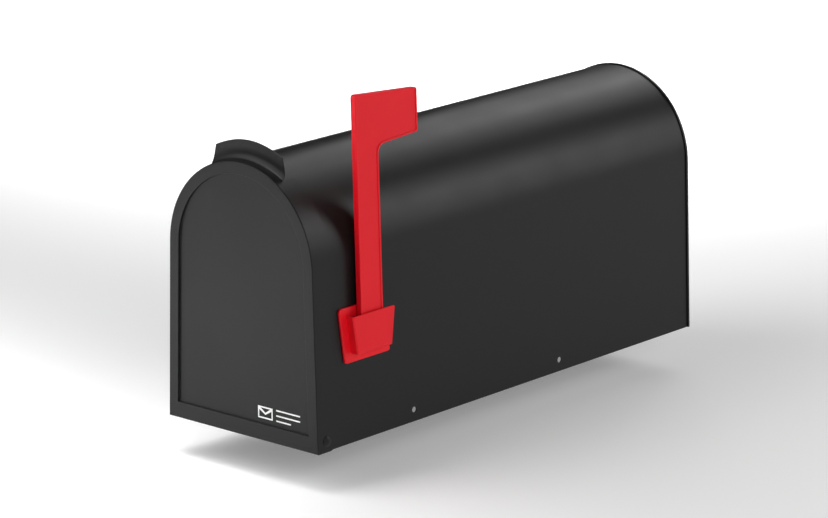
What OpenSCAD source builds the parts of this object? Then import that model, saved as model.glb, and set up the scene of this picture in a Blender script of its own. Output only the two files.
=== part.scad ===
// Rural mailbox: a half-round sheet steel box on a raised floor, with a drop-down
// door, a magnetic catch and a signal flag on its right side. Millimetres.
// The origin is the middle of the seat for the mounting board, on the floor's
// underside. +Y runs from the door to the back, +X is the flag's side.

/* [Overall size] */
// Width across the door at its bottom edge
door_w = 166; // [120:1:260]
// Height of the door, without its pull tab
door_h = 226.5; // [200:0.5:340]
// Length from the door's front face to the back face
box_len = 485.5; // [350:0.5:700]
// Lean of each side from upright, wider at the bottom
side_taper = 1.7; // [0.2:0.1:4]

/* [Sheet metal] */
// Thickness of every steel sheet
sheet_t = 0.8; // [0.6:0.1:1.2]
// Gap between the door's skirt and the body
door_clear = 1.2; // [0.8:0.1:2]
// Gap between the rear panel's rim and the body
rear_clear = 0.2; // [0.2:0.1:1]
// Depth of the rear panel's rim
rear_rim = 3; // [2.5:0.5:12]
// Gap between a welded sheet and the one behind it
weld_gap = 0.05; // [0.02:0.01:0.1]

/* [Door] */
// Depth of the skirt round the door
skirt_d = 22; // [18:0.5:30]
// Height of the door's bottom edge over the body's
door_lift = 0.2; // [0:0.1:1]
// Width of the border round the recessed field
field_border = 9.6; // [6:0.2:20]
// Height of the border under the recessed field
field_sill = 13.3; // [10:0.1:25]
// Depth of the recessed field
field_d = 2; // [1:0.1:3]
// Depth of the flange turned in at the door's bottom
door_foot = 6; // [4:0.5:8]
// Radius at the lower rear corner of the skirt
ear_r = 8; // [4:0.5:10]
// Thickness of the rubber buffers behind the door
buffer_t = 0.8; // [0.6:0.1:3]
// Height of each pair of buffers' lower ends under the arch's centre
buffer_drop = [15, 89]; // [10:1:100]

/* [Pull tab] */
// Height of the tab over the top of the door
tab_h = 15.8; // [10:0.1:25]
// Half the tab's width where it leaves the skirt
tab_half = 39.5; // [20:0.5:45]
// How much narrower each side is at the top
tab_lean = 5.2; // [0:0.1:8]
// Depth of the skirt in front of the tab's bend
tab_y = 8; // [5:0.5:10]
// Radius of the bend up into the tab
tab_bend = 4.2; // [3:0.1:8]
// How far the tab's top arc is centred over the arch
tab_rise = 0.4; // [0:0.2:15]

/* [Hinge] */
// Height of the hinge over the body's bottom edge
hinge_z = 9.2; // [7:0.1:12]
// Radius of the hinge rivet's shank
pin_r = 2.4; // [1.8:0.1:3]
// Running clearance of the shank in the door
pin_clear = 0.08; // [0.02:0.01:0.1]
// Radius of the rivet's head
pin_head_r = 4.6; // [3.5:0.1:6]
// Height of the rivet's head
pin_head_t = 1.6; // [1:0.1:3]

/* [Floor] */
// Height of the floor's underside over the body's bottom edge
floor_z = 20; // [16:0.5:40]
// Distance from the hinge back to the floor's front edge
floor_back = 13; // [12:0.5:30]
// Height of the floor's side flanges
flange_h = 5.2; // [4:0.1:6]
// Height of the floor's front and rear flanges
end_flange_h = 8; // [5:0.5:12]
// Width of each raised bead in the floor
bead_w = 12; // [8:1:16]
// Height of the beads
bead_h = 2; // [1:0.5:4]
// Distance from the beads' ends to the floor's ends
bead_end = 36; // [20:1:60]
// Distance of the first bead on each side from the middle
bead_mid = 20; // [10:1:30]
// Distance from one bead to the next on a side
bead_pitch = 30; // [20:1:50]

/* [Mounting screw holes] */
// Radius of the four holes in the sides
screw_hole_r = 2.4; // [1.5:0.1:3]
// Distance from the door's front face to the front holes
screw_y = 118.3; // [60:0.1:160]
// Distance between front and rear holes
screw_pitch = 186.7; // [100:0.1:260]
// Distance of the holes under the floor's underside
screw_drop = 10; // [9.2:0.1:11]

/* [Flag] */
// Gap between the door's skirt and the flag's plate
flag_gap = 7.3; // [2:0.1:40]
// Height of the flag's pivot over the body's bottom edge
flag_z = 90.2; // [70:0.1:110]
// Width of the arm
arm_w = 26; // [18:0.5:30]
// Thickness of the arm and blade
arm_t = 5; // [3:0.5:7]
// Reach of the blade's front top corner over the pivot
flag_reach = 194; // [140:1:240]
// Length of the blade, from the arm's front edge
blade_len = 73.4; // [50:0.1:100]
// Height of the blade at its front edge
blade_h = 46; // [30:1:60]
// Drop of the top edge from front to rear
blade_drop = 5.6; // [0:0.1:10]
// Rise of the bottom edge from front to rear
blade_rise = 4.2; // [0:0.1:10]
// Radius between the arm and the blade
blade_fillet = 6.5; // [3:0.5:12]
// Width of the raised rim round the arm and blade
rim_w = 1.7; // [1:0.1:3]
// Height of the raised rim
rim_h = 0.7; // [0.3:0.1:1.5]

/* [Flag holder] */
// Thickness of the back plate
plate_t = 2; // [1.5:0.1:4]
// Reach of the plate past the cover's front, at its top and at its bottom
plate_past = [8.1, 6.7]; // [3:0.1:12]
// Reach of the plate behind the raised arm, at its top
plate_heel = 5; // [3:0.5:12]
// Reach of the plate over and under the cover
plate_over = [6.8, 7.4]; // [3:0.1:12]
// Reach of the cover past the arm's sides, at its top and at its bottom
cover_past = [11.9, 7.3]; // [7:0.1:15]
// Reach of the cover over the arm when the flag lies back
cover_over = 3.2; // [2.8:0.1:8]
// Thickness of the cover's wall under the arm
cover_sill = 2.5; // [1.5:0.1:5]
// Thickness of the cover's face and its front wall
cover_t = 1.5; // [1.2:0.1:2.5]
// Gap between the arm and the pieces round it
arm_clear = 0.3; // [0.2:0.05:0.6]
// Thickness of the friction washer
friction_t = 0.9; // [0.6:0.1:2]
// Radius of the pivot post
post_r = 4; // [3:0.1:6]
// Radius of the screws' shanks
tap_r = 1.5; // [1.2:0.1:1.8]
// Radius of the two screw bosses
boss_r = 3; // [2.5:0.1:3.4]
// Distance of the bosses over and under the pivot
boss_rise = 8; // [5:0.5:9]

/* [Catch] */
// Height of the magnet's middle under the top of the door's sunk field
catch_drop = 13.9; // [12:0.1:30]
// Width of the magnet
magnet_w = 31.6; // [20:0.2:40]
// Thickness of the magnet
magnet_h = 6; // [4:0.5:10]
// Depth of the magnet
magnet_d = 6; // [4:0.5:10]
// Thickness of each pole plate
pole_t = 1.2; // [0.8:0.1:2]
// Gap between the pole plates and the shut door
catch_gap = 0.3; // [0.2:0.05:0.6]
// Thickness of the bracket's strip
strap_t = 1.2; // [0.8:0.1:2]
// Distance from the bracket's front face to its rivets
rivet_back = 22; // [16:0.5:30]

/* [Hidden] */
$fn = 96;
eps = 0.01;   // reach of a cut past a face
over = 5;     // reach of a cut that runs clear out of the part
// How far inside the half circle the sides end, so the two outlines cross.
spring_in = 0.02;

black = "#2c2c2c";
zinc = "#b9bdc0";
ferrite = "#3a3836";
rubber = "#1c1c1c";
red = "#d42a34";
white = "#f4f4f2";

// The door's outline is an arch: a half circle on two sides that lean in to meet
// it, so its radius follows from the width, the height and the lean.
st = sin(side_taper);
ct = cos(side_taper);
tt = tan(side_taper);
door_r = (door_w / 2 - door_h * tt) / (ct - tt + st * tt);
arch_z = door_lift + door_h - door_r;
body_r = door_r - sheet_t - door_clear;
inner_r = body_r - sheet_t;
rear_r = body_r + rear_clear + sheet_t;
floor_r = inner_r - weld_gap;          // the floor's edges, inside the body
field_r = door_r - field_border;
// The body's front edge lands on the buffers. The hinge is as far behind that
// edge as it is over the bottom edge, so the door clears both as it turns.
body_y = sheet_t + buffer_t + 4 * weld_gap;
hinge_y = body_y + hinge_z;
floor_y = hinge_y + floor_back;
floor_end = box_len - field_d - sheet_t - 4 * weld_gap;
plate_y = floor_y + sheet_t + weld_gap;   // where the floor's front strip ends
screw_z = floor_z - screw_drop;

// The row frame's origin, the middle of the board's seat.
seat_y = screw_y + screw_pitch / 2;

// Half the width, at height z, of an arch outline of radius r.
function foot_x(r, z) = r * ct + (arch_z + r * st - z) * tt;

// Half widths at the top and at the bottom, and reaches over and under the pivot.
cover_half = [arm_w / 2 + cover_past[0], arm_w / 2 + cover_past[1]];
cover_reach = [arm_w / 2 + cover_over, arm_w / 2 + arm_clear + cover_sill];
plate_half = [cover_half[0] + plate_past[0], cover_half[1] + plate_past[1]];
plate_rear = [arm_w / 2 + plate_heel, plate_half[1]];
plate_reach = [cover_reach[0] + plate_over[0], cover_reach[1] + plate_over[1]];
flag_y = skirt_d + flag_gap + plate_half[0];
rib_x = arm_w / 2 + arm_clear;         // the rib's face that the raised arm meets
boss_sink = 0.6;                       // how far the bosses reach into the rib
boss_x = rib_x + cover_t + boss_r - boss_sink;

// Flag heights over the wall, outwards.
arm_w0 = plate_t + friction_t + 2 * weld_gap;
arm_w1 = arm_w0 + arm_t;
cover_in = arm_w1 + arm_clear;
cover_out = cover_in + cover_t;
blade_u0 = -arm_w / 2;
blade_u1 = blade_u0 + blade_len;
wall_hole_r = tap_r + 0.5;
washer_r = 5;
washer_t = 0.8;
screw_head = [3.2, 2];                 // radius and height
screw_slot = [4, 0.8, 1];              // length, width and depth of its cross
washer_w = -sheet_t - weld_gap - washer_t;   // the washers' inner face
flag_spots = [[0, 0], [-boss_x, boss_rise], [-boss_x, -boss_rise]];

// Catch places.
pole_y = field_d + sheet_t + catch_gap;
pole_out = 0.8;                        // the poles' reach out of the housing
magnet_back = 1;                       // the housing's wall behind the magnet
pole_d = magnet_d + pole_out + 1;
housing_y = pole_y + pole_out;
strap_y = pole_y + pole_d + magnet_back;
catch_z = arch_z + field_r - catch_drop;
stack_h = magnet_h + 2 * pole_t;
housing_wall = [6.2, 2.2];              // beside and over the magnet and plates
housing_w = magnet_w + 2 * housing_wall[0];
housing_h = stack_h + 2 * housing_wall[1];
catch_screw_x = (magnet_w + housing_wall[0]) / 2 + 0.1;
catch_screw_r = 1.2;
catch_head = [2.2, 0.5];               // the screw head's radius and its slot
catch_nib = 1.5;                       // the screws' reach behind the strip
strap_half = housing_w / 2;
leg_half = 13;
leg_end = 8;                           // the leg's reach behind the rivets
rivet_x = 8;
rivet_r = 1.6;
rivet_head = [3.2, 1.3];
rivet_tail = [2.6, 1];
rivet_hole = 0.05;
rivet_y = strap_y + rivet_back;

mark_t = 0.15;

// ---- helpers ----

// An arch outline of radius r that stands on the height z.
module arch_2d(r, z) {
    spring = [r * ct - spring_in, arch_z + r * st];
    translate([0, arch_z]) circle(r = r);
    polygon([[-foot_x(r, z), z], [foot_x(r, z), z], spring, [-spring[0], spring[1]]]);
}

// An outline in X and Z, run back from y0 for a length.
module along_y(y0, len) {
    translate([0, y0 + len, 0]) rotate([90, 0, 0]) linear_extrude(len) children();
}

// A band of sheet outside radius r, open at the bottom.
module arch_band(r, t, y0, len, z) {
    along_y(y0, len) difference() {
        arch_2d(r + t, z);
        arch_2d(r, z - over);
    }
}

// A cylinder along X from x0 to x1.
module x_rod(r, x0, x1) {
    translate([x0, 0, 0]) rotate([0, 90, 0]) cylinder(r = r, h = x1 - x0);
}

// Right side's frame at a place on the wall: X to the rear, Y up, Z outwards.
module on_wall(y, z) {
    translate([foot_x(body_r, z), y, z])
        rotate([0, -side_taper, 0]) rotate([90, 0, 90]) children();
}

// Both sides of the box.
module both_sides() {
    children();
    mirror([1, 0, 0]) children();
}

module at_hinge() {
    translate([0, hinge_y, hinge_z]) children();
}

module screw_holes() {
    for (y = [screw_y, screw_y + screw_pitch])
        translate([0, y, screw_z]) x_rod(screw_hole_r, -door_w, door_w);
}

// A pressed panel with a field sunk by field_d, facing -Y at y = 0.
module pressed_panel(r, z, border_r, sill) {
    difference() {
        union() {
            along_y(0, sheet_t) arch_2d(r, z);
            along_y(0, field_d + sheet_t)
                arch_2d(border_r + sheet_t, z + sill - sheet_t);
        }
        along_y(-over, over + field_d) arch_2d(border_r, z + sill);
    }
}

// ---- body ----

module body_shell() {
    color(black) difference() {
        arch_band(inner_r, sheet_t, body_y, box_len - sheet_t - weld_gap - body_y, 0);
        // the lower front corners are round, so the door's foot can swing past
        difference() {
            translate([-door_w, -over, -over])
                cube([2 * door_w, hinge_y + over, hinge_z + over]);
            at_hinge() x_rod(hinge_z, -2 * door_w, 2 * door_w);
        }
        at_hinge() x_rod(pin_r + rivet_hole, -door_w, door_w);
        screw_holes();
        on_wall(flag_y, flag_z)
            for (p = flag_spots) translate([p[0], p[1], -over])
                cylinder(r = wall_hole_r, h = 2 * over);
        roof_rivets(rivet_r + rivet_hole, over);
    }
}

// Rods through the roof at the catch's rivets, square to it.
module roof_rivets(r, reach) {
    for (s = [-1, 1]) translate([0, rivet_y, arch_z])
        rotate([0, s * asin(rivet_x / body_r), 0])
            translate([0, 0, body_r - reach]) cylinder(r = r, h = 2 * reach);
}

module floor_panel() {
    color(black) difference() {
        union() {
            along_y(plate_y, floor_end - plate_y)
                floor_2d(floor_r - sheet_t - weld_gap, floor_z, floor_z + sheet_t);
            beads(sheet_t, 0);
        }
        beads(0, over);
    }
}

// The strips that hang from the floor's long edges, against the sides.
module floor_side_flanges() {
    z0 = floor_z - flange_h;
    z1 = floor_z + sheet_t;
    color(black) both_sides() along_y(plate_y, floor_end - plate_y) polygon([
        [foot_x(floor_r, z0), z0], [foot_x(floor_r, z1), z1],
        [foot_x(floor_r - sheet_t, z1), z1], [foot_x(floor_r - sheet_t, z0), z0]
    ]);
}

// The front strip hangs down, and the rear one stands up against the rear panel.
module floor_end_flanges() {
    color(black) {
        along_y(floor_y, sheet_t)
            floor_2d(floor_r, floor_z - end_flange_h, floor_z + sheet_t);
        along_y(floor_end - sheet_t, sheet_t)
            floor_2d(floor_r - sheet_t - weld_gap, floor_z + sheet_t + weld_gap,
                     floor_z + end_flange_h);
    }
}

module floor_2d(r, z0, z1) {
    polygon([
        [-foot_x(r, z0), z0], [foot_x(r, z0), z0],
        [foot_x(r, z1), z1], [-foot_x(r, z1), z1]
    ]);
}

// The floor's raised beads, as solids grown by t and reaching down by d.
module beads(t, d) {
    y0 = floor_y + bead_end - t;
    y1 = floor_end - bead_end + t;
    x_end = foot_x(inner_r, floor_z) - bead_w;
    places = [for (x = [bead_mid : bead_pitch : x_end], s = [-1, 1]) s * x];
    for (x = places) along_y(y0, y1 - y0) polygon([
        [x - bead_w / 2 - t, floor_z - d], [x + bead_w / 2 + t, floor_z - d],
        [x + bead_w / 2 + t, floor_z],
        [x + bead_w / 2 - bead_h + t, floor_z + bead_h + t],
        [x - bead_w / 2 + bead_h - t, floor_z + bead_h + t],
        [x - bead_w / 2 - t, floor_z]
    ]);
}

module rear_panel() {
    color(black) {
        translate([0, box_len, 0]) mirror([0, 1, 0])
            pressed_panel(rear_r, 0, rear_r - field_border, floor_z + sheet_t);
        arch_band(rear_r - sheet_t, sheet_t, box_len - rear_rim, rear_rim, 0);
    }
}

// ---- catch ----

module catch_bracket() {
    color(zinc) difference() {
        union() {
            // the upright leg behind the housing
            along_y(strap_y, strap_t) intersection() {
                translate([0, arch_z]) circle(r = inner_r - weld_gap);
                translate([-strap_half, catch_z - housing_h / 2])
                    square([2 * strap_half, door_h]);
            }
            // the leg that lies under the roof
            along_y(strap_y, rivet_back + leg_end) intersection() {
                translate([0, arch_z]) difference() {
                    circle(r = inner_r - weld_gap);
                    circle(r = inner_r - weld_gap - strap_t);
                }
                translate([-leg_half, arch_z]) square([2 * leg_half, door_h]);
            }
        }
        roof_rivets(rivet_r + rivet_hole, over);
        catch_screw_rods(catch_screw_r + rivet_hole, strap_y - over, strap_y + over);
    }
}

module catch_screw_rods(r, y0, y1) {
    for (s = [-1, 1]) translate([s * catch_screw_x, y1, catch_z])
        rotate([90, 0, 0]) cylinder(r = r, h = y1 - y0);
}

module catch_box(w, h, y0, y1, z) {
    translate([-w / 2, y0, z - h / 2]) cube([w, y1 - y0, h]);
}

module catch_housing() {
    fit = 4 * weld_gap;
    color(rubber) difference() {
        catch_box(housing_w, housing_h, housing_y, strap_y, catch_z);
        catch_box(magnet_w + fit, stack_h + fit, 0, strap_y - magnet_back, catch_z);
        catch_screw_rods(catch_screw_r + rivet_hole, 0, strap_y + over);
    }
}

module catch_magnet() {
    y1 = strap_y - magnet_back;
    color(ferrite) catch_box(magnet_w, magnet_h, y1 - magnet_d, y1, catch_z);
}

module catch_pole_plates() {
    color(zinc) for (s = [-1, 1])
        catch_box(magnet_w, pole_t, pole_y, strap_y - magnet_back,
                  catch_z + s * (magnet_h + pole_t) / 2);
}

module catch_screws() {
    color(zinc) {
        catch_screw_rods(catch_screw_r, housing_y, strap_y + strap_t + catch_nib);
        difference() {
            catch_screw_rods(catch_head[0], housing_y - pole_out / 2, housing_y);
            // one driver slot across each head
            translate([-door_w, 0, catch_z - catch_head[1] / 2])
                cube([2 * door_w, housing_y - pole_out / 4, catch_head[1]]);
        }
    }
}

module catch_rivets() {
    tail_r = sqrt(pow(inner_r - weld_gap - strap_t, 2) - pow(rivet_tail[0], 2)) - weld_gap;
    color(zinc) for (s = [-1, 1]) translate([0, rivet_y, arch_z])
        rotate([0, s * asin(rivet_x / body_r), 0]) {
            translate([0, 0, tail_r - rivet_tail[1]])
                cylinder(r = rivet_tail[0], h = rivet_tail[1]);
            translate([0, 0, tail_r]) cylinder(r = rivet_r, h = body_r - tail_r + eps);
            translate([0, 0, body_r]) dome(rivet_head[0], rivet_head[1]);
        }
}

// A low round head on the plane z = 0: the cap of a larger ball.
module dome(r, h) {
    ball = (r * r + h * h) / (2 * h);
    intersection() {
        translate([0, 0, h - ball]) sphere(r = ball);
        cylinder(r = r, h = h);
    }
}

// ---- hinge ----

module hinge_rivets() {
    ear_x = foot_x(door_r, hinge_z - pin_head_r) + weld_gap;
    wall_x = foot_x(body_r, hinge_z + pin_head_r) - sheet_t / ct - weld_gap;
    tail = [pin_head_r - 0.6, 1.2];
    color(zinc) both_sides() at_hinge() {
        translate([ear_x, 0, 0]) rotate([0, 90, 0]) dome(pin_head_r, pin_head_t);
        x_rod(pin_r, wall_x, ear_x + eps);
        x_rod(tail[0], wall_x - tail[1], wall_x);
    }
}

module hinge_washers() {
    t = door_clear - 0.5;
    color(rubber) both_sides() on_wall(hinge_y, hinge_z)
        translate([0, 0, (door_clear - t) / 2]) difference() {
            cylinder(r = pin_head_r, h = t);
            translate([0, 0, -eps]) cylinder(r = pin_r + 0.3, h = t + 2 * eps);
        }
}

// ---- door ----

module door_panel() {
    foot_half = foot_x(inner_r, 0) - door_clear;
    color(black) difference() {
        union() {
            pressed_panel(door_r, door_lift, field_r, field_sill);
            difference() {
                arch_band(door_r - sheet_t, sheet_t, 0, skirt_d, door_lift);
                // the skirt stops at the bend, where the tab takes its sheet
                translate([-tab_half, tab_y, arch_z]) cube([2 * tab_half, skirt_d, door_h]);
            }
            pull_tab();
            translate([-foot_half, 0, door_lift]) cube([2 * foot_half, door_foot, sheet_t]);
        }
        // the lower rear corners of the skirt are round
        translate([0, skirt_d - ear_r, door_lift + ear_r]) difference() {
            translate([-door_w, 0, -ear_r - over]) cube([2 * door_w, ear_r + over, ear_r + over]);
            x_rod(ear_r, -2 * door_w, 2 * door_w);
        }
        at_hinge() x_rod(pin_r + pin_clear, -door_w, door_w);
    }
}

// The tab is the skirt's own sheet, bent up round tab_bend and cut to an arc.
module pull_tab() {
    top_r = door_r + tab_h - tab_rise;
    intersection() {
        translate([0, 0, arch_z]) rotate([-90, 0, 0]) rotate_extrude($fn = 180) {
            translate([door_r + tab_bend, tab_y]) intersection() {
                difference() {
                    circle(r = tab_bend + sheet_t);
                    circle(r = tab_bend);
                }
                translate([-tab_bend - over, 0]) square(tab_bend + over);
            }
            translate([door_r + tab_bend - eps, tab_y + tab_bend])
                square([tab_h + over, sheet_t]);
        }
        along_y(0, skirt_d) intersection() {
            translate([0, arch_z + tab_rise]) circle(r = top_r);
            polygon([
                [-tab_half, arch_z], [tab_half, arch_z],
                [tab_half, arch_z + door_r - tab_h / 2],
                [tab_half - tab_lean, arch_z + door_r + tab_h],
                [-tab_half + tab_lean, arch_z + door_r + tab_h],
                [-tab_half, arch_z + door_r - tab_h / 2]
            ]);
        }
    }
}

module door_buffers() {
    // each fills the border between the sunk field's wall and the body's face
    clear = 0.8;
    pad = [field_border - 2 * sheet_t - door_clear - clear, buffer_t, 14];
    color(rubber) both_sides() for (drop = buffer_drop)
        translate([foot_x(body_r, arch_z - drop + pad[2]) - pad[0], sheet_t, arch_z - drop])
            cube(pad);
}

// A generic envelope sign with three address lines, low on the right.
module door_mark() {
    w = 16;
    h = 10;
    line = 1.2;
    gap = 4;
    lines = [26, 26, 16];
    z = door_lift + field_sill + 4.7;
    at = [foot_x(field_r, z) - 10.9 - w - gap - lines[0], z];
    color(white) along_y(field_d - mark_t, mark_t) translate(at) {
        difference() {
            square([w, h]);
            translate([line, line]) square([w - 2 * line, h - 2 * line]);
        }
        for (s = [0, 1]) translate([w * s, 0]) mirror([s, 0]) polygon([
            [line / 2, h - line / 2], [line * 1.4, h - line / 2],
            [w / 2, h * 0.42 + line * 0.7], [w / 2, h * 0.42 - line * 0.7],
            [line / 2, h - line * 2]
        ]);
        for (i = [0, 1, 2]) translate([w + gap, h - line - i * (h - line) / 2])
            square([lines[i], line]);
    }
}

// ---- flag ----

// A four-sided outline: reaches to the front, to the rear and over and under the
// pivot, the first two given at the top and at the bottom.
module trapezoid(front, rear, reach) {
    polygon([
        [-front[0], reach[0]], [rear[0], reach[0]],
        [rear[1], -reach[1]], [-front[1], -reach[1]]
    ]);
}

module flag_plate() {
    color(red) on_wall(flag_y, flag_z) difference() {
        linear_extrude(plate_t) trapezoid(plate_half, plate_rear, plate_reach);
        for (p = flag_spots) translate([p[0], p[1], -over])
            cylinder(r = wall_hole_r, h = 2 * over);
    }
}

// A shallow cap, open at its top and rear, where the arm swings.
module flag_cover() {
    color(red) on_wall(flag_y, flag_z) difference() {
        union() {
            difference() {
                translate([0, 0, plate_t])
                    linear_extrude(cover_out - plate_t)
                        trapezoid(cover_half, cover_half, cover_reach);
                translate([0, 0, plate_t - eps]) linear_extrude(cover_in - plate_t + eps)
                    polygon([
                        [-cover_half[0] + cover_t, cover_reach[0] + over],
                        [cover_half[0] + over, cover_reach[0] + over],
                        [cover_half[0] + over, -cover_reach[1] + cover_sill],
                        [-cover_half[1] + cover_t, -cover_reach[1] + cover_sill]
                    ]);
            }
            // the rib that the raised arm rests against
            translate([-rib_x - cover_t, 0, plate_t])
                cube([cover_t, cover_reach[0] - cover_t, cover_in - plate_t + eps]);
            for (p = flag_spots) translate([p[0], p[1], plate_t])
                cylinder(r = p[0] == 0 ? post_r : boss_r, h = cover_in - plate_t + eps);
        }
        for (p = flag_spots) translate([p[0], p[1], plate_t - eps])
            cylinder(r = tap_r, h = cover_in - plate_t);
    }
}

module flag_screws() {
    color(zinc) on_wall(flag_y, flag_z)
        for (p = flag_spots) translate([p[0], p[1], 0]) {
            translate([0, 0, washer_w - eps])
                cylinder(r = tap_r - weld_gap, h = cover_in - 1 - washer_w);
            translate([0, 0, washer_w - screw_head[1]]) difference() {
                cylinder(r = screw_head[0], h = screw_head[1]);
                for (a = [0, 90]) rotate([0, 0, a])
                    translate([-screw_slot[0] / 2, -screw_slot[1] / 2, -eps]) cube(screw_slot);
            }
        }
}

module flag_screw_washers() {
    color(zinc) on_wall(flag_y, flag_z)
        for (p = flag_spots) translate([p[0], p[1], washer_w]) difference() {
            cylinder(r = p[0] == 0 ? washer_r : screw_head[0] + 1, h = washer_t);
            translate([0, 0, -eps]) cylinder(r = tap_r + 0.2, h = washer_t + 2 * eps);
        }
}

module flag_friction_washer() {
    color(rubber) on_wall(flag_y, flag_z) translate([0, 0, plate_t + weld_gap]) difference() {
        cylinder(r = arm_w / 2 - 3, h = friction_t);
        translate([0, 0, -eps]) cylinder(r = post_r + 0.1, h = friction_t + 2 * eps);
    }
}

// The arm and blade in outline, drawn in by d.
module flag_2d(d) {
    top = flag_reach;
    low = flag_reach - blade_h;
    slope_top = blade_drop / blade_len;
    slope_low = blade_rise / blade_len;
    u0 = blade_u0 + d;
    u1 = blade_u1 - d;
    au = arm_w / 2 - d;
    f = blade_fillet + d;
    low_at = low + slope_low * (au + f - blade_u0) + d;
    circle(r = au);
    translate([u0, 0]) square([2 * au, low + blade_rise + 2 * d]);
    polygon([
        [u0, low + d], [au, low + slope_low * (au - blade_u0) + d],
        [u1, low + slope_low * (u1 - blade_u0) + d],
        [u1, top - slope_top * (u1 - blade_u0) - d], [u0, top - d]
    ]);
    // the hollow corner between arm and blade
    difference() {
        translate([au - eps, low_at - f]) square([f, f + 2 * eps]);
        translate([au + f, low_at - f]) circle(r = f);
    }
}

module flag_arm() {
    color(red) on_wall(flag_y, flag_z) difference() {
        translate([0, 0, arm_w0]) linear_extrude(arm_t) flag_2d(0);
        translate([0, 0, arm_w1 - rim_h]) linear_extrude(over) difference() {
            flag_2d(rim_w);
            // the arm keeps its full thickness inside the cover
            circle(r = cover_reach[0] - 2);
        }
        translate([0, 0, arm_w0 - over]) cylinder(r = post_r + pin_clear, h = arm_t + 2 * over);
    }
}

// ---- the part ----

module in_row_frame() {
    translate([0, -seat_y, -floor_z]) children();
}

in_row_frame() body_shell();
in_row_frame() floor_panel();
in_row_frame() floor_side_flanges();
in_row_frame() floor_end_flanges();
in_row_frame() rear_panel();
in_row_frame() catch_bracket();
in_row_frame() catch_housing();
in_row_frame() catch_magnet();
in_row_frame() catch_pole_plates();
in_row_frame() catch_screws();
in_row_frame() catch_rivets();
in_row_frame() hinge_rivets();
in_row_frame() hinge_washers();
in_row_frame() door_panel();
in_row_frame() door_buffers();
in_row_frame() door_mark();
in_row_frame() flag_plate();
in_row_frame() flag_cover();
in_row_frame() flag_screws();
in_row_frame() flag_screw_washers();
in_row_frame() flag_friction_washer();
in_row_frame() flag_arm();
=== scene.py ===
"""Looks of a rural mailbox: a powder-coated steel box, its drop-down door and its flag."""

import math

import bmesh
import bpy
from mathutils import Matrix, Vector
from mathutils.bvhtree import BVHTree


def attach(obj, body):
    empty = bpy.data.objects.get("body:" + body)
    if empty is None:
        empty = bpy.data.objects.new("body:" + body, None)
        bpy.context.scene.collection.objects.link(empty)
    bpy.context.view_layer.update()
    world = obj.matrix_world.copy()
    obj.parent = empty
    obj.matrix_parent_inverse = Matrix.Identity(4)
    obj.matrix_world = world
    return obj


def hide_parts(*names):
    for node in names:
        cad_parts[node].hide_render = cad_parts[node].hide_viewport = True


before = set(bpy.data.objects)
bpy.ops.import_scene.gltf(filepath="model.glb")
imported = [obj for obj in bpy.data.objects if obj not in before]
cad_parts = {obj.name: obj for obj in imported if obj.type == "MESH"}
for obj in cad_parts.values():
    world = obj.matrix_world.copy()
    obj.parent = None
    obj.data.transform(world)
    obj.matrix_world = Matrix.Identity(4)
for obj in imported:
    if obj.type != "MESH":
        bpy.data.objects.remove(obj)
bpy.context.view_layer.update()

# ---- sizes in millimetres, as in the part's source ----
# x = 0 is the middle, y = 0 the door's face, z = 0 the body's bottom edge.
SEAT = Vector((0, 211.65, 20))         # the row frame's origin
TAPER = math.radians(1.7)              # lean of each side
DOOR_W, DOOR_H, LIFT = 166, 226.5, 0.2
BOX_LEN, SHEET, GAP = 485.5, 0.8, 0.05
BORDER, FIELD_D, SILL = 9.6, 2, 13.3   # a pressed panel: its border, its field, the door's sill
STEP_R, STEP_RUN = 0.4, 0.15           # the two bends beside the field, the slope between them
DOOR_BEND, REAR_BEND = 0.8, 1.2        # bends round the two panels' outer edges
SKIRT_D, EAR_R = 22, 8                 # the door's skirt, its lower rear corners
FOOT_D, FOOT_PLAY = 6, 1.2             # the door's turned-in foot, its room beside the body
REAR_RIM, REAR_SILL = 3, 20.8
ARCH_STEPS = 96
HINGE = Vector((0, 11, 9.2))
HEAD_R, HEAD_H, PIN_R = 4.6, 1.6, 2.4  # a hinge rivet: its domed head and its pin
TAIL_R, TAIL_H = 4.0, 1.2              # its closed end, inside the body
PLAY = 0.08                            # round a pin that something turns on
TAB_HALF, TAB_LEAN, TAB_Y, TAB_BEND, TAB_H, TAB_RISE = 39.5, 5.2, 8, 4.2, 15.8, 0.4
TAB_TURN = 9                           # height over which the sheet turns up into the tab
SCREW_Y, SCREW_Z, SCREW_R = (118.3, 305.0), 10, 2.4
FLAG_Y, FLAG_Z = 62.3, 90.2            # the flag's pivot
ARM_R, ARM_0, ARM_1, REACH = 13, 3.0, 8.0, 194
BLADE_END, BLADE_LOW = 60.4, 148       # how far back the blade goes, its lower edge at the arm
BLADE_DROP, BLADE_RISE = 5.6, 4.2      # how much its two long edges close in on each other
BLADE_ROUND = (3.0, 2.1, 2.1, 6.5)     # its corners, from the front top round to the arm
RIM_W, RIM_RUN, RIM_H = 1.6, 0.1, 0.7  # the raised rim of the arm and the blade
FULL_TO = 12.6                         # below this the arm has its full thickness
PLATE_T, PLATE_ROUND = 2, 3.2
COVER_0, COVER_1 = 8.3, 9.8            # the cover's front wall, inside and outside
COVER_ROUND = 1.5
BOSSES = ((0, 0), (-17.2, 8), (-17.2, -8))
POST_R, BOSS_R, BORE_R = 4.0, 3.0, 1.5
FLAG_HOLE_R = 2.0
RIB = Vector((1.5, 14.7, COVER_0 - PLATE_T))
RIB_X = -14.05
FLOOR_HALF = 12                        # of the studio's floor, in metres
FLOOR_DROP = 32                        # leaves room for the open door

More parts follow.
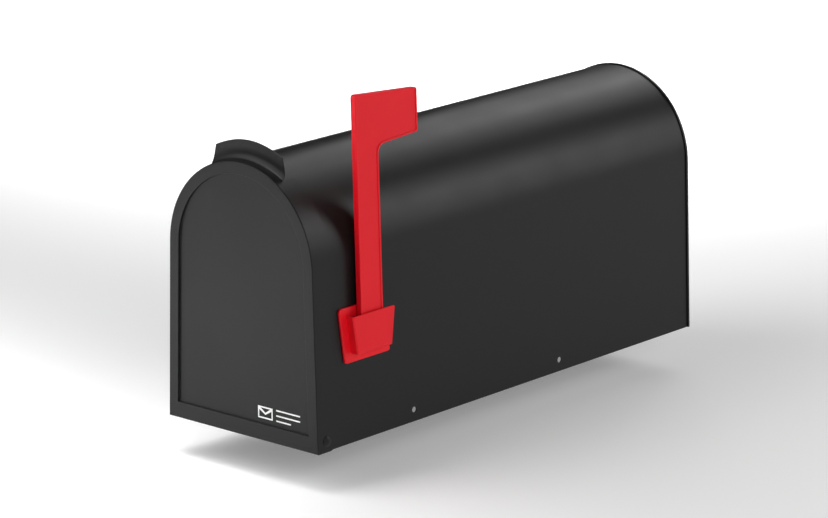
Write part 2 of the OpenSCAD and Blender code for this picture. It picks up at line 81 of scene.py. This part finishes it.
SPRING = (TAPER, math.pi - TAPER)      # where the roof's arch meets the sides
BOTH_SIDES = Matrix.Identity(4), Matrix.Scale(-1, 4, (1, 0, 0))
st, ct, tt = math.sin(TAPER), math.cos(TAPER), math.tan(TAPER)
DOOR_R = (DOOR_W / 2 - DOOR_H * tt) / (ct - tt + st * tt)
ARCH_Z = LIFT + DOOR_H - DOOR_R
BODY_R = DOOR_R - 2.0
REAR_R = BODY_R + 1.0
BODY_Y = HINGE.y - HINGE.z


def foot_x(r, z):
    """Half the width, at height z, of an arch of radius r."""
    return r * ct + (ARCH_Z + r * st - z) * tt


def towards(azimuth, elevation):
    """The way from the mailbox, in degrees: azimuth 0 is in front of it, 90 at its right."""
    a, e = math.radians(azimuth), math.radians(elevation)
    return Vector((math.sin(a) * math.cos(e), -math.cos(a) * math.cos(e), math.sin(e)))


# ---- mesh tools ----

def wall_place(y, z, r=BODY_R):
    """The right wall's own axes: X to the rear, Y up the wall, Z outwards."""
    axes = Matrix(((0, 0, 1, 0), (1, 0, 0, 0), (0, 1, 0, 0), (0, 0, 0, 1)))
    return Matrix.Translation((foot_x(r, z), y, z)) @ Matrix.Rotation(-TAPER, 4, "Y") @ axes


def extruded(bm, edges, step):
    """Extrudes open edges by a step and gives the new edges and vertices."""
    made = bmesh.ops.extrude_edge_only(bm, edges=edges)["geom"]
    verts = [g for g in made if isinstance(g, bmesh.types.BMVert)]
    bmesh.ops.translate(bm, verts=verts, vec=step)
    ahead = set(verts)
    edges = [g for g in made if isinstance(g, bmesh.types.BMEdge)
             and all(v in ahead for v in g.verts)]
    return edges, verts


def thickened(bm, faces, step):
    """Extrudes flat faces into a solid and gives the moved faces."""
    made = bmesh.ops.extrude_face_region(bm, geom=faces, use_keep_orig=True)["geom"]
    verts = [g for g in made if isinstance(g, bmesh.types.BMVert)]
    bmesh.ops.translate(bm, verts=verts, vec=step)
    return [g for g in made if isinstance(g, bmesh.types.BMFace)]


def inset(bm, face, thickness, depth):
    bmesh.ops.inset_region(
        bm, faces=[face], thickness=thickness, depth=depth, use_even_offset=True,
        use_boundary=True)


def quarter_bend(bm, face, r, flat_first, way):
    """Insets a face round a quarter circle, outwards with way 1 and inwards with -1."""
    turn = [math.radians(a) for a in (0, 22.5, 45, 67.5, 90)]
    for a, b in zip(turn, turn[1:]):
        long, short = r * (math.sin(b) - math.sin(a)), r * (math.cos(a) - math.cos(b))
        if flat_first:
            inset(bm, face, long, way * short)
        else:
            inset(bm, face, short, way * long)


def rounded(bm, geom, offset, segments=4, affect="EDGES"):
    return bmesh.ops.bevel(
        bm, geom=geom, offset=offset, offset_type="OFFSET", affect=affect,
        segments=segments, profile=0.5, material=-1, clamp_overlap=True)


def everything(bm):
    return [*bm.verts, *bm.edges, *bm.faces]


def below(edge, z):
    return all(v.co.z < z for v in edge.verts)


def corners(bm, spots, tolerance=0.05):
    """The vertices at the given points."""
    return [v for v in bm.verts if any((v.co - Vector(s)).length < tolerance for s in spots)]


def arch_line(bm, r, z, y, stops, steps):
    """An arch in outline, from the right foot over the top to the left foot."""
    start = bm.verts.new((foot_x(r, z), y, z))
    last = bm.verts.new((r * ct, y, ARCH_Z + r * st))
    bm.edges.new((start, last))
    for a, b, n in zip(stops, stops[1:], steps):
        turned = bmesh.ops.spin(
            bm, geom=[last], cent=(0, y, ARCH_Z), axis=(0, -1, 0), angle=b - a,
            steps=n, use_duplicate=False)["geom_last"]
        last = next(g for g in turned if isinstance(g, bmesh.types.BMVert))
    end = bm.verts.new((-foot_x(r, z), y, z))
    bm.edges.new((last, end))
    return start, end


def face_at(bm, point):
    bm.faces.index_update()
    bm.faces.ensure_lookup_table()
    return bm.faces[BVHTree.FromBMesh(bm).find_nearest(point)[2]]


def drilled(bm, place, radius, segments=28):
    """A round hole in a flat wall: a square cell is cut free and filled up to a circle."""
    half = radius * 1.18
    for away in (Vector((-1, 0, 0)), Vector((1, 0, 0)), Vector((0, -1, 0)), Vector((0, 1, 0))):
        face = face_at(bm, place.translation)
        bmesh.ops.bisect_plane(
            bm, geom=[face, *face.edges, *face.verts], dist=1e-5,
            plane_co=place @ (away * half), plane_no=place.to_3x3() @ away)
    face = face_at(bm, place.translation)
    cell = list(face.edges)
    bmesh.ops.delete(bm, geom=[face], context="FACES_ONLY")
    ring = bmesh.ops.create_circle(
        bm, cap_ends=False, radius=radius, segments=segments, matrix=place)["verts"]
    ring_edges = {e for v in ring for e in v.link_edges}
    bmesh.ops.triangle_fill(
        bm, edges=cell + list(ring_edges), use_beauty=True, use_dissolve=False,
        normal=place.to_3x3() @ Vector((0, 0, 1)))


def pointed_out(bm, centre):
    """Gives every face of an open sheet the same side, away from a point inside it."""
    bmesh.ops.recalc_face_normals(bm, faces=bm.faces)
    away = sum(f.normal.dot(f.calc_center_median() - Vector(centre)) * f.calc_area()
               for f in bm.faces)
    if away < 0:
        bmesh.ops.reverse_faces(bm, faces=bm.faces)


def laid_face_down(bm):
    """Turns a flat piece's faces to -Z, so that it can be thickened upwards."""
    bmesh.ops.recalc_face_normals(bm, faces=bm.faces)
    if sum(f.normal.z for f in bm.faces) > 0:
        bmesh.ops.reverse_faces(bm, faces=bm.faces)


def finished(bm, name, body, slot, nodes=(), sheet=0.0, edge=0.25, place=None):
    """Makes the object: places it, turns it to metres and adds its last modifiers."""
    if place is not None:
        bm.transform(place)
    bm.transform(Matrix.Scale(0.001, 4) @ Matrix.Translation(-SEAT))
    mesh = bpy.data.meshes.new(name)
    bm.to_mesh(mesh)
    bm.free()
    piece = bpy.data.objects.new(name, mesh)
    bpy.context.scene.collection.objects.link(piece)
    mesh.materials.append(MATERIALS[slot])
    mesh.shade_smooth()
    if sheet:
        wall = piece.modifiers.new("sheet", "SOLIDIFY")
        wall.thickness = sheet / 1000
        wall.offset = -1
        wall.use_even_offset = True
        wall.use_quality_normals = True
    if edge:
        soft = piece.modifiers.new("edge", "BEVEL")
        soft.width = edge / 1000
        soft.segments = 2
        soft.limit_method = "ANGLE"
        soft.angle_limit = math.radians(35)
        soft.miter_outer = "MITER_ARC"
    flat = piece.modifiers.new("flat", "WEIGHTED_NORMAL")
    flat.keep_sharp = True
    flat.weight = 100
    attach(piece, body)
    if nodes:
        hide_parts(*nodes)


def from_node(node, name, body, slot, edge):
    """A merged copy of a CAD piece, with softened edges."""
    bm = bmesh.new()
    bm.from_mesh(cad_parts[node].data)
    bm.transform(Matrix.Translation(SEAT) @ Matrix.Scale(1000, 4))
    bmesh.ops.remove_doubles(bm, verts=bm.verts, dist=0.002)
    bmesh.ops.dissolve_limit(
        bm, angle_limit=math.radians(1), verts=bm.verts, edges=bm.edges,
        use_dissolve_boundaries=False)
    finished(bm, name, body, slot, [node], edge=edge)


# ---- materials ----

def linear(text):
    """An sRGB hex colour as linear red, green, blue and alpha."""
    parts = [int(text[i:i + 2], 16) / 255 for i in (1, 3, 5)]
    return [c / 12.92 if c <= 0.04045 else ((c + 0.055) / 1.055) ** 2.4 for c in parts] + [1]


def add(tree, kind, inputs=None, **settings):
    """Adds a node: settings are its own fields, inputs are values or other sockets."""
    node = tree.nodes.new(kind)
    for key, value in settings.items():
        setattr(node, key, value)
    for key, value in (inputs or {}).items():
        if isinstance(value, bpy.types.NodeSocket):
            tree.links.new(value, node.inputs[key])
        else:
            node.inputs[key].default_value = value
    return node


def finish_of(name, dark, light, rough, grain_mm, height_mm, strength=0.5, wave_mm=40,
              **sockets):
    """A coated, moulded or plated surface: two near tones, a grain and uneven gloss."""
    material = bpy.data.materials.new(name)
    material.use_nodes = True
    tree = material.node_tree
    tree.nodes.clear()
    where = add(tree, "ShaderNodeTexCoord").outputs["Object"]
    wave = add(tree, "ShaderNodeTexNoise",
               {"Vector": where, "Scale": 1000 / wave_mm, "Detail": 3.0, "Roughness": 0.5})
    tone = add(tree, "ShaderNodeMix",
               {"Factor": wave.outputs["Fac"], 6: linear(dark), 7: linear(light)},
               data_type="RGBA")
    gloss = add(tree, "ShaderNodeMapRange",
                {"Value": wave.outputs["Fac"], "From Min": 0.3, "From Max": 0.7,
                 "To Min": rough[0], "To Max": rough[1]})
    grain = add(tree, "ShaderNodeTexNoise",
                {"Vector": where, "Scale": 1000 / grain_mm, "Detail": 2.0, "Roughness": 0.6})
    bump = add(tree, "ShaderNodeBump",
               {"Height": grain.outputs["Fac"], "Distance": height_mm / 1000,
                "Strength": strength})
    shader = add(tree, "ShaderNodeBsdfPrincipled",
                 {"Base Color": tone.outputs[2], "Roughness": gloss.outputs["Result"],
                  "Normal": bump.outputs["Normal"], **sockets})
    add(tree, "ShaderNodeOutputMaterial", {"Surface": shader.outputs["BSDF"]})
    return material


MATERIALS = {
    # Polyester powder coat, sprayed and baked on sheet steel: satin black with a fine
    # orange peel. The real peel is about 1 mm across and 0.01 mm deep.
    "powder_coat": finish_of(
        "black_satin_powder_coat", "#121212", "#141414", (0.36, 0.40), 1.4, 0.012,
        **{"IOR": 1.5, "Specular IOR Level": 0.25}),
    # ABS, injection moulded in a lightly polished tool: saturated red, satin.
    "red_abs": finish_of(
        "red_moulded_abs", "#ec1121", "#ef1424", (0.36, 0.42), 1.2, 0.006,
        **{"IOR": 1.53, "Specular IOR Level": 0.2}),
    # Black ABS of the catch's housing, moulded with a fine spark-eroded grain.
    "black_abs": finish_of(
        "black_moulded_abs", "#171717", "#1c1c1c", (0.5, 0.6), 0.8, 0.03, IOR=1.53),
    # Zinc plate, barrel plated and clear passivated: pale grey metal, slightly cloudy.
    "zinc_plate": finish_of(
        "zinc_plate", "#a9adb0", "#bcc0c2", (0.28, 0.42), 2.0, 0.01, wave_mm=6, Metallic=1.0),
    # Black zinc plate on the hinge rivets: dark, a little less even than the coat.
    "black_zinc": finish_of(
        "black_zinc_plate", "#101011", "#161617", (0.36, 0.46), 1.2, 0.01, wave_mm=5,
        **{"IOR": 1.5, "Specular IOR Level": 0.25}),
    # Sintered ferrite: matt charcoal with pressed grains.
    "ferrite": finish_of(
        "sintered_ferrite", "#33312f", "#3f3c39", (0.6, 0.75), 0.6, 0.05, wave_mm=3, IOR=1.8),
    # Black rubber, cut from sheet: matt.
    "black_rubber": finish_of(
        "black_rubber", "#161616", "#1d1d1d", (0.75, 0.85), 0.7, 0.04, wave_mm=5, IOR=1.52),
    # Black nylon, stamped from sheet: waxy, a little shinier than rubber.
    "nylon": finish_of(
        "black_nylon", "#2a2a2a", "#333333", (0.4, 0.5), 1.5, 0.01, wave_mm=6, IOR=1.53),
    # Pad-printed white ink: flat, slightly uneven cover.
    "white_ink": finish_of(
        "white_pad_print", "#efefed", "#f6f6f4", (0.5, 0.6), 0.6, 0.01, wave_mm=4, IOR=1.5)}

# ---- sheet steel pieces ----

def pressed_pan(bm, r, z, stops, steps, sill, bend):
    """A pressed panel facing -Y: a rounded outer edge, a border and a sunk field."""
    bm.edges.new(arch_line(bm, r, z, bend, stops, steps))
    face = bmesh.ops.contextual_create(bm, geom=list(bm.edges))["faces"][0]
    if face.normal.y > 0:
        face.normal_flip()
    quarter_bend(bm, face, bend, False, 1)
    inset(bm, face, BORDER - bend, 0)
    low = [v for v in face.verts if v.co.z < z + BORDER + 1]
    bmesh.ops.translate(bm, verts=low, vec=(0, 0, sill - BORDER))
    quarter_bend(bm, face, STEP_R, True, -1)
    inset(bm, face, STEP_RUN, 2 * STEP_R - FIELD_D)
    quarter_bend(bm, face, STEP_R, False, -1)


def build_body():
    bm = bmesh.new()
    arch_line(bm, BODY_R, 0, BODY_Y, SPRING, (ARCH_STEPS,))
    end = BOX_LEN - SHEET - GAP
    extruded(bm, list(bm.edges), (0, end - BODY_Y, 0))
    pointed_out(bm, (0, end / 2, ARCH_Z / 2))
    # the lower front corners are round, so the door's foot can swing past
    rounded(bm, corners(bm, [(s * foot_x(BODY_R, 0), BODY_Y, 0) for s in (-1, 1)]),
            HINGE.z, 12, "VERTICES")
    for side in BOTH_SIDES:
        for y in SCREW_Y:
            drilled(bm, side @ wall_place(y, SCREW_Z), SCREW_R)
        drilled(bm, side @ wall_place(HINGE.y, HINGE.z), PIN_R + GAP)
    flag = wall_place(FLAG_Y, FLAG_Z)
    for spot in BOSSES:
        drilled(bm, flag @ Matrix.Translation((*spot, 0)), FLAG_HOLE_R)
    pointed_out(bm, (0, end / 2, ARCH_Z / 2))
    finished(bm, "mailbox_body_sheet", "box", "powder_coat", ["body_shell"], sheet=SHEET)


def build_rear():
    bm = bmesh.new()
    pressed_pan(bm, REAR_R, 0, SPRING, (ARCH_STEPS,), REAR_SILL, REAR_BEND)
    rim = [e for e in bm.edges if e.is_boundary and not below(e, 0.01)]
    extruded(bm, rim, (0, REAR_RIM - REAR_BEND, 0))
    bm.transform(Matrix.Translation((0, BOX_LEN, 0)) @ Matrix.Scale(-1, 4, (0, 1, 0)))
    pointed_out(bm, (0, BOX_LEN - 40, ARCH_Z / 2))
    finished(bm, "mailbox_rear_panel", "box", "powder_coat", ["rear_panel"], sheet=SHEET)


def build_door():
    bm = bmesh.new()
    tab = math.acos(TAB_HALF / DOOR_R)
    foot_half = foot_x(BODY_R - SHEET, 0) - FOOT_PLAY
    pressed_pan(bm, DOOR_R, LIFT, (TAPER, tab, math.pi - tab, math.pi - TAPER),
                (34, 34, 34), SILL, DOOR_BEND)
    for side in (-1, 1):               # the foot is narrower than the door
        edge = next(e for e in bm.edges if e.is_boundary and below(e, LIFT + 0.01))
        start = max(edge.verts, key=lambda v: side * v.co.x)
        share = (start.co.x - side * foot_half) / (start.co - edge.other_vert(start).co).x
        bmesh.utils.edge_split(edge, start, share)
    rim = [e for e in bm.edges if e.is_boundary]
    low = {e for e in rim if below(e, LIFT + 0.01)}
    foot = [max(low, key=lambda e: e.calc_length())]
    extruded(bm, foot, (0, FOOT_D - DOOR_BEND, 0))
    skirt, _ = extruded(bm, [e for e in rim if e not in low], (0, TAB_Y - DOOR_BEND, 0))
    over = [e for e in skirt
            if all(v.co.z > ARCH_Z and abs(v.co.x) < TAB_HALF + 0.01 for v in e.verts)]
    extruded(bm, [e for e in skirt if e not in over], (0, SKIRT_D - TAB_Y, 0))
    pull_tab(bm, over)
    # the lower rear corners of the skirt are round
    rounded(bm, corners(bm, [(s * foot_x(DOOR_R, LIFT), SKIRT_D, LIFT) for s in (-1, 1)]),
            EAR_R, 10, "VERTICES")
    for side in BOTH_SIDES:
        drilled(bm, side @ wall_place(HINGE.y, HINGE.z, DOOR_R), PIN_R + PLAY)
    bmesh.ops.recalc_face_normals(bm, faces=bm.faces)
    front = max(bm.faces, key=lambda f: f.calc_area())
    if front.normal.y > 0:
        bmesh.ops.reverse_faces(bm, faces=bm.faces)
    finished(bm, "door_pressed_panel", "door", "powder_coat", ["door_panel"], sheet=SHEET)


def pull_tab(bm, edges):
    """The skirt's sheet goes on round a bend and up to an arc cut a little flatter."""
    top_r = DOOR_R + TAB_H - TAB_RISE
    lean_from = ARCH_Z + DOOR_R - TAB_H / 2
    rows = [(a, 0) for a in range(15, 91, 15)] + [(90, s / 4) for s in range(1, 5)]
    start = {v for e in edges for v in e.verts}
    column = {round(v.co.x, 3): v.co.x for v in start}
    for angle, share in rows:
        edges, verts = extruded(bm, edges, (0, 0, 0))
        turn = math.radians(angle)
        for v in verts:
            x = column[min(column, key=lambda k: abs(k - v.co.x))]
            low = math.sqrt(DOOR_R ** 2 - x * x) + TAB_TURN * (1 - math.cos(turn))
            high = TAB_RISE + math.sqrt(top_r * top_r - x * x)
            v.co.z = ARCH_Z + low + (high - low) * share
            v.co.y = TAB_Y + TAB_BEND * math.sin(turn)
    # its two ends lean in towards the top
    for v in {v for f in bm.faces for v in f.verts if v.co.z > lean_from}:
        if v.co.y > TAB_Y + 0.01 and abs(v.co.x) < TAB_HALF + 0.01:
            share = min(1, (v.co.z - lean_from) / (1.5 * TAB_H))
            v.co.x *= 1 - share * TAB_LEAN / TAB_HALF
    tip = max(v.co.z for v in bm.verts if abs(v.co.y - TAB_Y - TAB_BEND) < 0.01
              and abs(v.co.x) > TAB_HALF - TAB_LEAN - 0.5)
    ends = [v for v in bm.verts if abs(v.co.z - tip) < 0.01 and abs(v.co.x) > TAB_HALF - 4]
    rounded(bm, ends, 0.8, 4, "VERTICES")


# ---- hinge ----

def build_hinge():
    bm = bmesh.new()
    out = foot_x(DOOR_R, HINGE.z - HEAD_R) + GAP
    inner = foot_x(BODY_R, HINGE.z + HEAD_R) - SHEET / ct - GAP
    ball = (HEAD_R ** 2 + HEAD_H ** 2) / (2 * HEAD_H)
    axis = Matrix.Rotation(math.pi / 2, 4, "Y")
    # a domed head: the cap of a larger ball
    bmesh.ops.create_uvsphere(
        bm, u_segments=48, v_segments=96, radius=ball,
        matrix=Matrix.Translation((0, 0, HEAD_H - ball)))
    cut = bmesh.ops.bisect_plane(
        bm, geom=everything(bm), plane_co=(0, 0, 0), plane_no=(0, 0, -1),
        clear_outer=True)["geom_cut"]
    rim = [g for g in cut if isinstance(g, bmesh.types.BMEdge)]
    bmesh.ops.contextual_create(bm, geom=rim)
    bm.transform(Matrix.Translation((out, 0, 0)) @ axis)
    for r, a, b in ((PIN_R, inner, out + 0.01), (TAIL_R, inner - TAIL_H, inner)):
        bmesh.ops.create_cone(
            bm, cap_ends=True, segments=40, radius1=r, radius2=r, depth=b - a,
            matrix=Matrix.Translation(((a + b) / 2, 0, 0)) @ axis)
    other = bmesh.ops.duplicate(bm, geom=everything(bm))["geom"]
    bmesh.ops.scale(bm, verts=[g for g in other if isinstance(g, bmesh.types.BMVert)],
                    vec=(-1, 1, 1))
    bmesh.ops.recalc_face_normals(bm, faces=bm.faces)
    finished(bm, "hinge_rivet_pair", "box", "black_zinc", ["hinge_rivets"], edge=0.2,
             place=Matrix.Translation(HINGE))


# ---- flag, in the right wall's own axes ----

def flat_outline(bm, points):
    """One flat face through the given points, facing +Z."""
    verts = [bm.verts.new((x, y, 0)) for x, y in points]
    face = bm.faces.new(verts)
    if face.normal.z < 0:
        face.normal_flip()
    face.normal_update()
    return face


def build_arm():
    bm = bmesh.new()
    neck = BLADE_LOW + BLADE_RISE * (2 * ARM_R) / (BLADE_END + ARM_R)
    bottom = bm.verts.new((ARM_R, 0, 0))
    turned = bmesh.ops.spin(bm, geom=[bottom], cent=(0, 0, 0), axis=(0, 0, -1),
                            angle=math.pi, steps=32, use_duplicate=False)["geom_last"]
    last = next(g for g in turned if isinstance(g, bmesh.types.BMVert))
    places = ((-ARM_R, REACH), (BLADE_END, REACH - BLADE_DROP),
              (BLADE_END, BLADE_LOW + BLADE_RISE), (ARM_R, neck))
    for x, y in places:
        corner = bm.verts.new((x, y, 0))
        bm.edges.new((last, corner))
        last = corner
    bm.edges.new((last, bottom))
    face = bmesh.ops.contextual_create(bm, geom=list(bm.edges))["faces"][0]
    for spot, r in zip(places, BLADE_ROUND):
        rounded(bm, corners(bm, [(*spot, 0)]), r, 8, "VERTICES")
    bmesh.ops.bisect_plane(
        bm, geom=everything(bm), plane_co=(0, FULL_TO, 0), plane_no=(0, 1, 0))
    drilled(bm, Matrix.Identity(4), POST_R + PLAY)
    laid_face_down(bm)
    top = thickened(bm, list(bm.faces), (0, 0, ARM_1 - ARM_0))
    bmesh.ops.recalc_face_normals(bm, faces=bm.faces)
    face = max(top, key=lambda f: f.calc_area())
    inset(bm, face, RIM_W, 0)
    inset(bm, face, RIM_RUN, -RIM_H)
    for f in bm.faces:
        f.normal_update()
    finished(bm, "flag_arm_and_blade", "flag", "red_abs", ["flag_arm"],
             place=wall_place(FLAG_Y, FLAG_Z) @ Matrix.Translation((0, 0, ARM_0)))


def trapezoid(front, rear, reach):
    """Corners round the pivot: top and bottom reach to the front and rear, reach up and down."""
    return ((-front[0], reach[0]), (rear[0], reach[0]), (rear[1], -reach[1]),
            (-front[1], -reach[1]))


def build_plate():
    bm = bmesh.new()
    flat_outline(bm, trapezoid(front=(33, 27), rear=(18, 27), reach=(23, 23.2)))
    rounded(bm, list(bm.verts), PLATE_ROUND, 8, "VERTICES")
    for spot in BOSSES:
        drilled(bm, Matrix.Translation((*spot, 0)), FLAG_HOLE_R)
    laid_face_down(bm)
    thickened(bm, list(bm.faces), (0, 0, PLATE_T))
    bmesh.ops.recalc_face_normals(bm, faces=bm.faces)
    # the upper edges all round it, without those of its holes
    outer = [e for e in bm.edges if all(v.co.z > PLATE_T - 0.01 for v in e.verts)
             and any(abs(f.normal.z) < 0.1 for f in e.link_faces)
             and not any((v.co.xy - Vector(s)).length < 3 for v in e.verts for s in BOSSES)]
    rounded(bm, outer, 0.8, 3)
    finished(bm, "flag_back_plate", "box", "red_abs", ["flag_plate"], edge=0.2,
             place=wall_place(FLAG_Y, FLAG_Z))


def build_cover():
    bm = bmesh.new()
    face = flat_outline(
        bm, trapezoid(front=(24.9, 20.3), rear=(24.9, 20.3), reach=(16.2, 15.8)))
    bmesh.ops.translate(bm, verts=bm.verts, vec=(0, 0, COVER_1))
    # the front and bottom edges fold down to the plate
    fold = [e for e in bm.edges if all(v.co.x < -20 for v in e.verts)
            or all(v.co.y < -15 for v in e.verts)]
    extruded(bm, fold, (0, 0, PLATE_T - COVER_1))
    bmesh.ops.recalc_face_normals(bm, faces=bm.faces)
    if face.normal.z < 0:
        bmesh.ops.reverse_faces(bm, faces=bm.faces)
    upright = [e for e in bm.edges if len(e.link_faces) == 2
               and abs(e.verts[0].co.z - e.verts[1].co.z) > 1]
    rounded(bm, fold + upright, COVER_ROUND, 5)
    high = [v for v in bm.verts if abs(v.co.z - COVER_1) < 0.01
            and len(v.link_faces) == 1 and v.co.y > 10]
    rounded(bm, high, COVER_ROUND, 5, "VERTICES")
    finished(bm, "flag_cover_cap", "box", "red_abs", ["flag_cover"], sheet=COVER_1 - COVER_0,
             edge=0.35, place=wall_place(FLAG_Y, FLAG_Z))


def build_cover_inside():
    """The pivot post, two screw bosses and the rib that the raised arm meets."""
    bm = bmesh.new()
    for spot, r in zip(BOSSES, (POST_R, BOSS_R, BOSS_R)):
        for size in (r, BORE_R):
            bmesh.ops.create_cone(
                bm, cap_ends=False, segments=32, radius1=size, radius2=size,
                depth=COVER_0 - PLATE_T,
                matrix=Matrix.Translation((*spot, (COVER_0 + PLATE_T) / 2)))
        for z in (PLATE_T, COVER_0):
            rings = [e for e in bm.edges
                     if all(abs(v.co.z - z) < 0.01 and (v.co.xy - Vector(spot)).length < r + 0.1
                            for v in e.verts)]
            bmesh.ops.bridge_loops(bm, edges=rings)
    rib = bmesh.ops.create_cube(bm, size=1)["verts"]
    bmesh.ops.scale(bm, verts=rib, vec=RIB)
    bmesh.ops.translate(bm, verts=rib, vec=(RIB_X, RIB.y / 2, (COVER_0 + PLATE_T) / 2))
    bmesh.ops.recalc_face_normals(bm, faces=bm.faces)
    finished(bm, "flag_cover_post_and_rib", "box", "red_abs", edge=0.15,
             place=wall_place(FLAG_Y, FLAG_Z))


for build in (build_body, build_rear, build_door, build_hinge, build_arm, build_plate,
              build_cover, build_cover_inside):
    build()

for node, name, body, slot, edge in (
        ("floor_panel", "floor_panel_beaded", "box", "powder_coat", 0.25),
        ("floor_side_flanges", "floor_side_flange_pair", "box", "powder_coat", 0.2),
        ("floor_end_flanges", "floor_end_flange_pair", "box", "powder_coat", 0.2),
        ("catch_bracket", "catch_bracket_strip", "box", "zinc_plate", 0.2),
        ("catch_housing", "catch_housing_moulded", "box", "black_abs", 0.4),
        ("catch_magnet", "catch_magnet_block", "box", "ferrite", 0.3),
        ("catch_pole_plates", "catch_pole_plate_pair", "box", "zinc_plate", 0.15),
        ("catch_screws", "catch_screw_pair", "box", "zinc_plate", 0.08),
        ("catch_rivets", "catch_rivet_pair", "box", "black_zinc", 0.1),
        ("hinge_washers", "hinge_washer_pair", "box", "nylon", 0.1),
        ("door_buffers", "door_buffer_pads", "door", "black_rubber", 0.2),
        ("flag_screws", "flag_screw_set", "box", "zinc_plate", 0.15),
        ("flag_screw_washers", "flag_screw_washer_set", "box", "zinc_plate", 0.1),
        ("flag_friction_washer", "flag_friction_disc", "box", "black_rubber", 0.1)):
    from_node(node, name, body, slot, edge)
# the printed mark stays the CAD's own piece
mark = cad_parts["door_mark"]
mark.data.materials.clear()
mark.data.materials.append(MATERIALS["white_ink"])

# ---- floor, light and camera ----

floor_mesh = bpy.data.meshes.new("studio_floor")
bm = bmesh.new()
bmesh.ops.create_grid(bm, x_segments=1, y_segments=1, size=FLOOR_HALF)
bmesh.ops.translate(bm, verts=bm.verts, vec=(0, 0, -(SEAT.z + FLOOR_DROP) / 1000))
bm.to_mesh(floor_mesh)
bm.free()
studio_floor = bpy.data.objects.new("studio_floor", floor_mesh)
bpy.context.scene.collection.objects.link(studio_floor)
# Plain white floor that glows a little, so that it stays pale.
paper = bpy.data.materials.new("white_studio_floor")
paper.use_nodes = True
shader = paper.node_tree.nodes["Principled BSDF"]
shader.inputs["Base Color"].default_value = linear("#f0f0f0")
shader.inputs["Roughness"].default_value = 0.9
shader.inputs["Emission Color"].default_value = (1, 1, 1, 1)
shader.inputs["Emission Strength"].default_value = 0.22
floor_mesh.materials.append(paper)

world = bpy.data.worlds.new("studio")
bpy.context.scene.world = world
world.use_nodes = True
sky = world.node_tree.nodes["Background"]
sky.inputs["Color"].default_value = (1, 1, 1, 1)
sky.inputs["Strength"].default_value = 0.02

TARGET = Vector((0, 0.03, 0.1))


def soft_box(name, azimuth, elevation, distance, size, watts, down=False):
    """A square area light that faces the mailbox, or straight down through a grid."""
    light = bpy.data.lights.new(name, "AREA")
    light.size = size
    light.energy = watts
    lamp = bpy.data.objects.new(name, light)
    out = towards(azimuth, elevation)
    lamp.location = TARGET + out * distance
    lamp.rotation_mode = "QUATERNION"
    if down:
        light.spread = math.radians(60)
        out = Vector((0, 0, 1))
    lamp.rotation_quaternion = out.to_track_quat("Z", "Y")
    bpy.context.scene.collection.objects.link(lamp)


# Dim boxes behind and beside the mailbox give the roof its bands of sheen, and the large
# one in front on the left lights the door. The two floor boxes light only the floor, which
# the door and the side mirror.
for lamp in (
        ("door_box", -35, 38, 2.4, 2.1, 34),
        ("flag_box", 70, 20, 2.4, 1.2, 14.5),
        ("side_box", 138, 14, 2.4, 1.0, 9),
        ("shoulder_box", 138, 30, 2.4, 0.8, 6.8),
        ("roof_box", 188, 34, 2.4, 1.0, 7.2),
        ("far_roof_box", 209, 34, 2.4, 1.0, 5.4),
        ("front_floor_box", -30, 35, 1.0, 0.9, 4.4, True),
        ("back_floor_box", 221, 30, 2.0, 1.6, 14, True)):
    soft_box(*lamp)

camera = bpy.data.objects.new("camera", bpy.data.cameras.new("camera"))
bpy.context.scene.collection.objects.link(camera)
azimuth, elevation, roll = 41.371, 15.183, math.radians(-0.2254)
back = towards(azimuth, elevation)
right = Vector((math.cos(math.radians(azimuth)), math.sin(math.radians(azimuth)), 0))
up = back.cross(right)
c, s = math.cos(roll), math.sin(roll)
right, up = c * right + s * up, c * up - s * right
camera.matrix_world = Matrix.Translation((2.1310, -2.4210, 0.9589)) @ Matrix(
    (right, up, back)).transposed().to_4x4()
camera.data.sensor_width = 36
camera.data.lens = 173.2
camera.data.clip_end = 50
bpy.context.scene.camera = camera
bpy.context.scene.view_settings.view_transform = "Standard"
